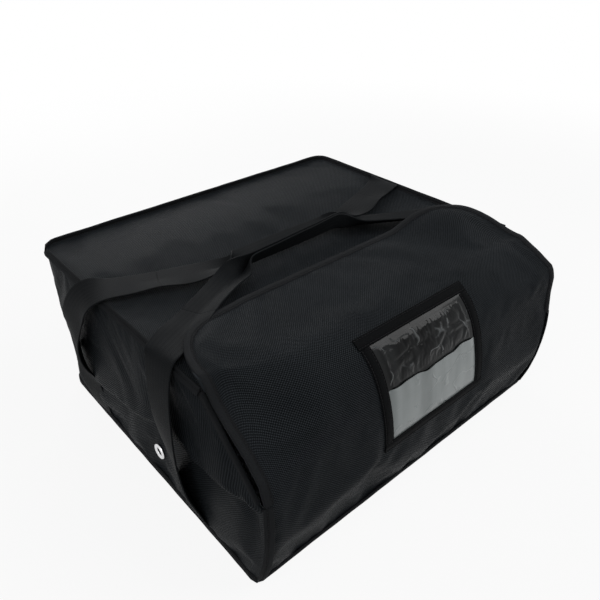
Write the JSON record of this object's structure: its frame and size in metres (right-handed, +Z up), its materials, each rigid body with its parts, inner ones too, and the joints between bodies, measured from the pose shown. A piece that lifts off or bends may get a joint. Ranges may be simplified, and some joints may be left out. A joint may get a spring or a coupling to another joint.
{
  "type": "insulated food delivery bag",
  "caption": "Soft insulated box bag for flat food boxes, with a front flap that folds over the top, a clear window pocket, webbing straps with folded grips and vent eyelets.",
  "frame": {"origin": "middle of the base, on the surface that the bag stands on", "axes": "+X to the right seen from the front, the front panel faces -Y, +Z up"},
  "size_m": [0.565, 0.4867, 0.2576],
  "materials": {
    "outer_fabric": "coated woven polyester, fine basket weave, low sheen",
    "foam": "matte closed-cell foam sheet",
    "liner": "smooth grey coated liner, satin",
    "base_board": "matte twin-wall board",
    "binding_tape": "matte woven tape with a line of stitches",
    "webbing": "smooth black webbing, matte",
    "hook_and_loop": "matte fuzzy tape",
    "window_film": "clear soft film, glossy and wrinkled",
    "eyelet_metal": "bright nickel plate"
  },
  "bodies": {
    "bag": {"bottom_shell": "outer_fabric", "base_board": "base_board", "bottom_foam": "foam", "bottom_liner": "liner", "left_shell": "outer_fabric", "left_foam": "foam", "left_liner": "liner", "right_shell": "outer_fabric", "right_foam": "foam", "right_liner": "liner", "back_shell": "outer_fabric", "back_foam": "foam", "back_liner": "liner", "top_shell": "outer_fabric", "top_foam": "foam", "top_liner": "liner", "front_shell": "outer_fabric", "front_foam": "foam", "front_liner": "liner", "base_binding_left": "binding_tape", "base_binding_right": "binding_tape", "base_binding_back": "binding_tape", "base_binding_front": "binding_tape", "top_binding": "binding_tape", "front_seam_binding_left": "binding_tape", "front_seam_binding_right": "binding_tape", "back_seam_binding_left": "binding_tape", "back_seam_binding_right": "binding_tape", "mouth_binding_left": "binding_tape", "mouth_binding_right": "binding_tape", "mouth_binding_top": "binding_tape", "loop_tape": "hook_and_loop", "eyelet_left": "eyelet_metal", "eyelet_right": "eyelet_metal", "eyelet_washer_left": "eyelet_metal", "eyelet_washer_right": "eyelet_metal", "front_strap_left": "webbing", "front_strap_right": "webbing", "rear_strap_left": "webbing", "rear_strap_right": "webbing", "pocket_frame_lower": "binding_tape", "pocket_film_lower": "window_film"},
    "flap_lower": {"flap_front_shell": "outer_fabric", "flap_front_foam": "foam", "flap_front_liner": "liner", "flap_front_binding_left": "binding_tape", "flap_front_binding_right": "binding_tape", "pocket_film_upper": "window_film", "pocket_frame_left": "binding_tape", "pocket_frame_right": "binding_tape"},
    "flap_upper": {"flap_top_shell": "outer_fabric", "flap_top_foam": "foam", "flap_top_liner": "liner", "flap_top_binding": "binding_tape", "hook_tape": "hook_and_loop", "pocket_frame_top": "binding_tape"},
    "handle_front": {"front_handle": "webbing"},
    "handle_rear": {"rear_handle": "webbing"}
  },
  "joints": [
    {"name": "flap_lift", "type": "hinge", "parent": "bag", "child": "flap_lower", "pos_m": [0, -0.2525, 0.1432], "axis": [1, 0, 0], "range_deg": [0, 120]},
    {"name": "flap_knee", "type": "hinge", "parent": "flap_lower", "child": "flap_upper", "pos_m": [0, -0.2305, 0.2218], "axis": [1, 0, 0], "range_deg": [0, 90]},
    {"name": "front_handle_lift", "type": "hinge", "parent": "bag", "child": "handle_front", "pos_m": [0, -0.1045, 0.2353], "axis": [1, 0, 0], "range_deg": [0, 90]},
    {"name": "rear_handle_lift", "type": "hinge", "parent": "bag", "child": "handle_rear", "pos_m": [0, 0.0925, 0.2353], "axis": [-1, 0, 0], "range_deg": [0, 90]}
  ]
}
